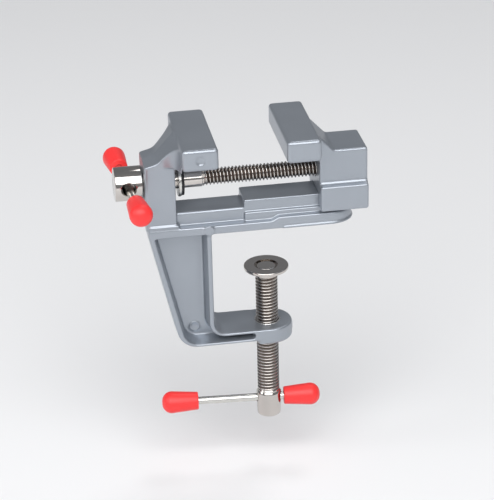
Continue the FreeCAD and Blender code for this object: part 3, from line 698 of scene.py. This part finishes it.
def makeClampScrew():
    screw = clampScrew
    up = (0, 0, 1)
    headProfile = softProfile([
        (screw["headBottom"], 0.0, 0),
        (screw["headBottom"], screw["headBottomRadius"], screw["headEdge"]),
        (screw["headTop"] - screw["headTaper"], screw["headRadius"], screw["taperEdge"]),
        (screw["headTop"], screw["radius"] + screw["neck"], screw["neckEdge"]),
        (screw["headTop"], 0.0, 0),
    ])
    head = makePiece("clampScrewHead", turnedRows((0, 0, 0), up, headProfile, screw["headSteps"]), plating)
    hole = turnedRows((0, 0, screw["holeAt"] * mm), (1, 0, 0), crossHole(screw), screw["holeSteps"])
    turn = math.radians(screw["holeTurn"])
    drill(head, hole @ spinTo((math.cos(turn), math.sin(turn))).T)
    punchPlace = (0, -screw["headRadius"] * mm, screw["punchAt"] * mm)
    drill(head, turnedRows(punchPlace, (0, 1, 0), screw["punchDent"], screw["punchSteps"]))
    before = [(screw["start"] - screw["threadOverlap"], screw["radius"])]
    after = softProfile([
        (screw["end"] + screw["tipEdge"], screw["radius"] - screw["tipEdge"], 0),
        (screw["shoulder"], screw["radius"] - screw["depth"], 0),
        (screw["shoulder"], screw["studRadius"], 0),
        (screw["studHeadBottom"], screw["studRadius"], 0),
        (screw["studHeadBottom"], screw["studHeadRadius"], screw["studHeadEdge"]),
        (screw["studHeadTop"], screw["studHeadRadius"], screw["studTopEdge"]),
        (screw["studHeadTop"], screw["studMiddle"], 0),
    ])
    thread = threadedPiece("clampScrewThread", (0, 0, 0), up, before, screw, after)
    for piece in (head, thread):
        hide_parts("clamp_screw")
        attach(piece, "clamp_screw")


makeMainScrew()
print("main screw: turned, drilled and threaded")
makeClampScrew()
print("clamp screw: turned, drilled and threaded")


def faceOutwards(mesh):
    work = bmesh.new()
    work.from_mesh(mesh)
    bmesh.ops.recalc_face_normals(work, faces=work.faces)
    work.to_mesh(mesh)
    work.free()


# A closed ring of closed sections, shape (places, points of a section, 3), on the base casting.
def makeRing(name, rows, material):
    count, steps = rows.shape[:2]
    index = np.arange(count * steps).reshape(count, steps)
    following = np.roll(index, -1, axis=1)
    right = np.roll(index, -1, axis=0)
    faces = np.stack([index, following, np.roll(right, -1, axis=1), right], axis=-1).reshape(-1, 4)
    mesh = bpy.data.meshes.new(name)
    mesh.from_pydata(rows.reshape(-1, 3).tolist(), [], faces.tolist())
    mesh.materials.append(material)
    faceOutwards(mesh)
    mesh.shade_smooth()
    piece = bpy.data.objects.new(name, mesh)
    scene.collection.objects.link(piece)
    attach(piece, "base")


# ring that an ejector pin left in the frame's pocket, in millimetres
ejectorRing = {
    "at": (-26.7, -2.3, -38.2), "radius": 1.62, "thickness": 0.24, "rise": 0.08,
    "steps": 64, "ringSteps": 16,
}


# torus: radius R + r cos(t) about the ring's axis Y, r sin(t) along it
def makeEjectorRing():
    ring = ejectorRing
    turn = np.arange(ring["steps"]) * 2 * math.pi / ring["steps"]
    t = np.arange(ring["ringSteps"]) * 2 * math.pi / ring["ringSteps"]
    turnGrid, tGrid = np.meshgrid(turn, t, indexing="ij")
    radius = ring["radius"] + ring["thickness"] * np.cos(tGrid)
    outwards = -ring["rise"] - ring["thickness"] * np.sin(tGrid)
    points = np.stack([radius * np.cos(turnGrid), outwards, radius * np.sin(turnGrid)], axis=-1)
    makeRing("ejectorRing", (points + np.array(ring["at"])) * mm, casting)


# bare rim round the clamp screw's bore: a flat ring, in millimetres; shelf gives two of its points, each
# by its distance from the inner edge and its share of the rise; waves give share, count and phase
boreRim = {
    "top": -39.38, "inner": 4.08, "outer": 4.75, "rise": 0.1, "foot": -0.4,
    "shelf": ((0.12, 0.8), (0.25, 1.0)), "outerShare": 0.5,
    "ragged": 0.16, "waves": ((0.5, 3, 0.7), (0.3, 7, 2.1), (0.2, 16, 0.0)), "steps": 160,
}


# The outer edge wanders: outer + ragged * the sum of share * sin(count * turn + phase) over the waves.
def makeBoreRim():
    rim = boreRim
    turn = np.arange(rim["steps"]) * 2 * math.pi / rim["steps"]
    wander = sum(share * np.sin(count * turn + phase) for share, count, phase in rim["waves"])
    outer = rim["outer"] + rim["ragged"] * wander
    section = [(rim["inner"], rim["foot"])]
    section += [(rim["inner"] + reach, rim["rise"] * share) for reach, share in rim["shelf"]]
    section += [(outer, rim["rise"] * rim["outerShare"]), (outer, rim["foot"])]
    rows = []
    for reach, height in section:
        level = np.full(rim["steps"], rim["top"] + height)
        rows.append(np.stack([reach * np.cos(turn), reach * np.sin(turn), level], axis=-1))
    makeRing("boreRim", np.stack(rows, axis=1) * mm, bareAluminium)


makeEjectorRing()
makeBoreRim()
print("base: ejector ring and bore rim")


# tommy bars: each bar's middle in millimetres, its direction, and the side that each cap is on
bars = {
    "main_bar": {
        "middle": (-48.0, 0.0, 17.4), "direction": (-0.0715, 0.9974, 0.0),
        "caps": {"main_bar_cap_far": 1, "main_bar_cap_near": -1},
    },
    "clamp_bar": {
        "middle": (-10.17, 0.765, -71.4), "direction": (0.9972, -0.0750, 0.0),
        "caps": {"clamp_bar_cap_right": 1, "clamp_bar_cap_left": -1},
    },
}

# one bar and one cap: places along the bar in millimetres from its middle
bar = {"radius": 1.4, "halfLength": 26.7, "endRound": 0.35, "endMiddle": 0.3, "steps": 48}
cap = {
    "mouthAt": 15.7, "mouthRadius": 3.2, "mouthRound": 0.35,
    "boreRadius": 1.42, "boreDepth": 0.8, "boreRound": 0.15,
    "endAt": 28.9, "endRadius": 4.02, "domeRound": 3.5, "domeSteps": 16,
    "steps": 72, "sharpAngle": 50,
}


def placeAlong(profile, steps, middle, direction):
    rows = turnedRows((0, 0, 0), (1, 0, 0), profile, steps)
    return rows @ spinTo(direction).T + np.array(middle) * mm


# The side runs from the mouth to where the dome starts. Dome: along = centre + r sin(t),
# radius = end - r + r cos(t).
def capProfile():
    centre = cap["endAt"] - cap["domeRound"]
    slope = math.atan2(cap["endRadius"] - cap["mouthRadius"], centre - cap["mouthAt"])
    t = np.linspace(-slope, math.pi / 2, cap["domeSteps"])
    dome = np.stack([centre + cap["domeRound"] * np.sin(t),
                     cap["endRadius"] - cap["domeRound"] + cap["domeRound"] * np.cos(t)], axis=-1)
    mouth = softProfile([
        (cap["mouthAt"] + cap["boreDepth"], cap["boreRadius"], 0),
        (cap["mouthAt"], cap["boreRadius"], cap["boreRound"]),
        (cap["mouthAt"], cap["mouthRadius"], cap["mouthRound"]),
        (dome[0][0], dome[0][1], 0),
    ])
    return mouth[:-1] + dome.tolist()


def barProfile():
    half, end = bar["halfLength"], bar["endRound"]
    return softProfile([
        (-half, bar["endMiddle"], 0),
        (-half, bar["radius"], end),
        (half, bar["radius"], end),
        (half, bar["endMiddle"], 0),
    ])


def finishPiece(piece, nodeName, bodyName):
    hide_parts(nodeName)
    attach(piece, bodyName)


def makeBar(name, values):
    rows = placeAlong(barProfile(), bar["steps"], values["middle"], values["direction"])
    finishPiece(makePiece(name + "Rod", rows, brightSteel), name, name)
    for capName, side in values["caps"].items():
        direction = [side * part for part in values["direction"]]
        rows = placeAlong(capProfile(), cap["steps"], values["middle"], direction)
        piece = makePiece(capName + "Cap", rows, redVinyl, cap["sharpAngle"])
        finishPiece(piece, capName, name)


for barName, values in bars.items():
    makeBar(barName, values)
print("tommy bars: turned and capped")
